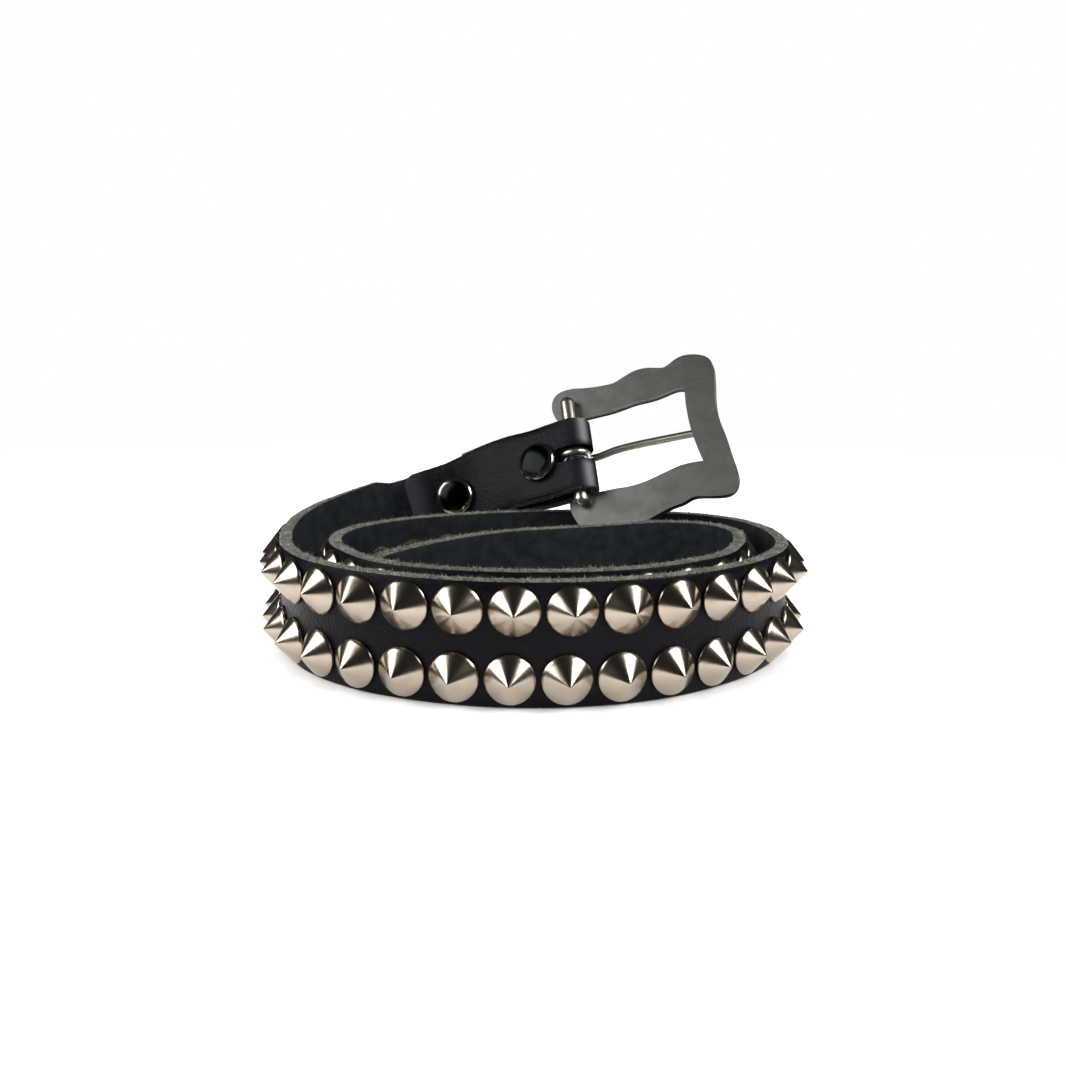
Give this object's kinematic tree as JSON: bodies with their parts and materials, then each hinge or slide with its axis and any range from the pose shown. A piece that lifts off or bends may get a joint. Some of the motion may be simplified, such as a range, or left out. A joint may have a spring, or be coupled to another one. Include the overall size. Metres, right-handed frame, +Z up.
{
  "type": "studded belt",
  "caption": "Black leather belt with rows of pointed metal studs, loosely coiled on its edge, its open buckle hanging over the back.",
  "frame": {"origin": "middle of the belt's outline on the floor it stands on", "axes": "+X along the coil's longer side, to the right in the picture; +Y to the back, where the buckle hangs; +Z up"},
  "size_m": [0.1746, 0.153, 0.0886],
  "materials": {
    "black_leather": "black dyed strap leather with raw cut edges; the studs let into it are polished nickel",
    "dark_nickel": "polished dark nickel plate",
    "grey_casting": "dull grey zinc casting, finely mottled",
    "bright_nickel": "polished nickel plate"
  },
  "bodies": {
    "belt": {"studded_strap": "black_leather", "keeper_loop": "black_leather", "snap_1_cap": "dark_nickel", "snap_1_back": "dark_nickel", "snap_2_cap": "dark_nickel", "snap_2_back": "dark_nickel"},
    "buckle": {"buckle_frame": "grey_casting", "buckle_bar": "bright_nickel"},
    "tongue": {"prong": "bright_nickel"}
  },
  "joints": [
    {"name": "buckle_swivel", "type": "hinge", "parent": "belt", "child": "buckle", "pos_m": [0.0171, 0.0415, 0.0511], "axis": [0.123, -0.4965, -0.8593], "range_deg": [0, 70]},
    {"name": "prong_hinge", "type": "hinge", "parent": "buckle", "child": "tongue", "pos_m": [0.0171, 0.0415, 0.0511], "axis": [-0.123, 0.4965, 0.8593], "range_deg": [0, 74]}
  ]
}
